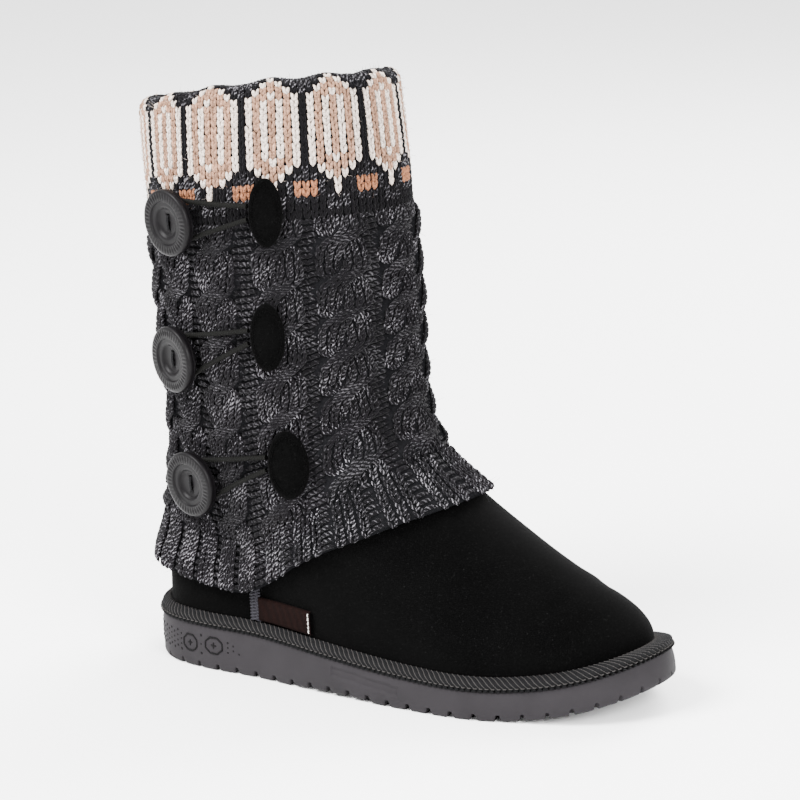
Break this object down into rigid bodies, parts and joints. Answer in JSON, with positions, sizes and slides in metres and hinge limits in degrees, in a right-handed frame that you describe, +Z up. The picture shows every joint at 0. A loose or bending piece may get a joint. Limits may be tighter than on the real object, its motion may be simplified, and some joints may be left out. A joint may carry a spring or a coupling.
{
  "type": "ankle boot",
  "caption": "Right ankle boot with a hollow suede upper on a lugged foam sole, under a cable-knit sleeve that is folded over the collar and has round buttons on elastic loops.",
  "frame": {"origin": "on the floor under the middle of the heel, on the flat of the sole", "axes": "+X to the toe, +Y to the inner side of the foot, +Z up"},
  "size_m": [0.2735, 0.1186, 0.2855],
  "materials": {
    "foam": "matt blown foam",
    "binding": "wrapped cord tape",
    "suede": "napped black suede",
    "lining": "short fleece pile",
    "knit": "marled acrylic knit",
    "button": "satin moulded",
    "thread": "twisted thread",
    "elastic": "braided round elastic",
    "tag": "woven label tape"
  },
  "bodies": {
    "root": {"outsole": "foam", "sole_binding": "binding", "insole": "lining", "upper": "suede", "knit_sleeve": "knit", "side_seam_outer": "knit", "side_seam_inner": "knit", "side_tag": "tag", "button_top": "button", "button_thread_top": "thread", "elastic_loop_top": "elastic", "patch_top": "suede", "button_mid": "button", "button_thread_mid": "thread", "elastic_loop_mid": "elastic", "patch_mid": "suede", "button_low": "button", "button_thread_low": "thread", "elastic_loop_low": "elastic", "patch_low": "suede"}
  },
  "joints": []
}
